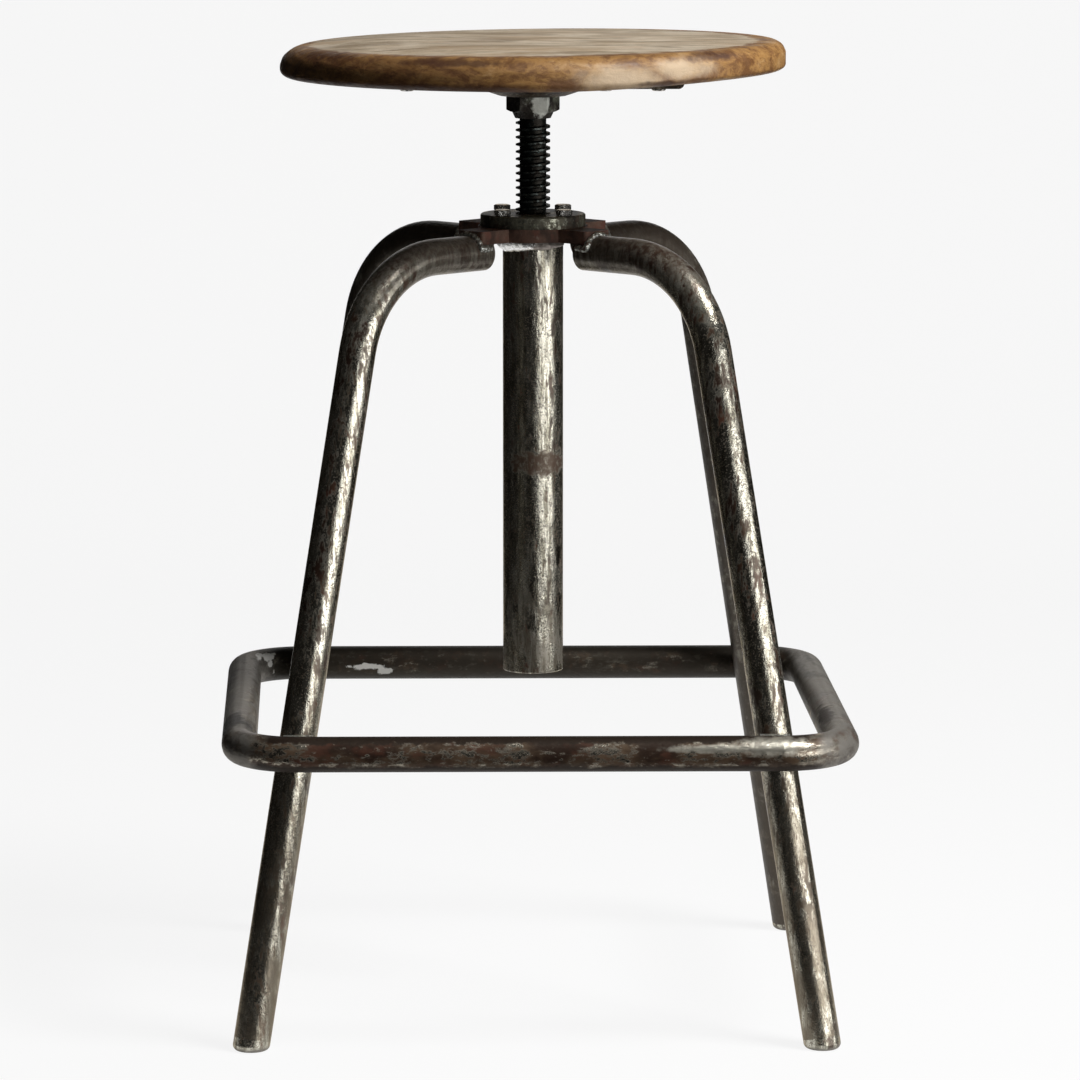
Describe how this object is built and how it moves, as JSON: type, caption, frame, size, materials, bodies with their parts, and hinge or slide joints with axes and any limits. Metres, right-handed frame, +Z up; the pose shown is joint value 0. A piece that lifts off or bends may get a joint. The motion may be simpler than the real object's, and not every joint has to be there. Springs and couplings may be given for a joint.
{
  "type": "machinist stool",
  "caption": "Screw-lift workshop stool: round wooden seat on a threaded column, splayed bent-tube legs and a square foot ring.",
  "frame": {"origin": "on the floor, under the axis of the column", "axes": "+Z up along the lift screw, -Y towards the side that the picture shows, legs on the diagonals of X and Y"},
  "size_m": [0.4382, 0.41, 0.668],
  "materials": {
    "seat_wood": "worn, waxed hardwood with an edge stained brown",
    "strap_steel": "dull, lightly rusted bar",
    "screw_steel": "dull",
    "nut_steel": "worn, with pale specks",
    "thread_steel": "blackened, oiled",
    "guide_bronze": "turned",
    "guide_steel": "dull",
    "flange_steel": "dark, olive grey",
    "bolt_steel": "worn bright on the corners",
    "plate_steel": "reddish brown, rusted and waxed",
    "column_steel": "stripped tube with dark patina",
    "leg_steel": "stripped tube with dark patina",
    "ring_steel": "stripped tube with dark patina",
    "plug_steel": "dark, rubbed pale at the edge",
    "weld_steel": "raw bead",
    "pale_weld": "bead with pale paint on it"
  },
  "bodies": {
    "frame": {"thread_flange": "flange_steel", "flange_bolts": "bolt_steel", "cross_plate": "plate_steel", "column_tube": "column_steel", "column_weld": "pale_weld", "foot_ring": "ring_steel", "leg_front_left": "leg_steel", "foot_plug_front_left": "plug_steel", "hub_weld_front_left": "weld_steel", "ring_weld_front_left": "weld_steel", "leg_front_right": "leg_steel", "foot_plug_front_right": "plug_steel", "hub_weld_front_right": "weld_steel", "ring_weld_front_right": "weld_steel", "leg_rear_left": "leg_steel", "foot_plug_rear_left": "plug_steel", "hub_weld_rear_left": "weld_steel", "ring_weld_rear_left": "weld_steel", "leg_rear_right": "leg_steel", "foot_plug_rear_right": "plug_steel", "hub_weld_rear_right": "weld_steel", "ring_weld_rear_right": "weld_steel"},
    "guide": {"guide_bush": "guide_bronze"},
    "seat": {"seat_board": "seat_wood", "seat_strap": "strap_steel", "seat_screws": "screw_steel", "dish_washer": "strap_steel", "seat_nut": "nut_steel", "lift_screw": "thread_steel", "guide_washer": "guide_steel", "guide_nut": "guide_steel", "lock_pin": "guide_steel"}
  },
  "joints": [
    {"name": "seat_lift", "type": "slide", "parent": "frame", "child": "guide", "axis": [0, 0, 1], "range_m": [-0.0651, 0.1501]},
    {"name": "seat_spin", "type": "hinge", "parent": "guide", "child": "seat", "pos_m": [0, 0, 0.36], "axis": [0, 0, 1], "range_deg": [-4680, 10800]}
  ],
  "couplings": [
    {"joint": "seat_lift", "follows": "seat_spin", "m_per_rad": 0.00079577}
  ]
}
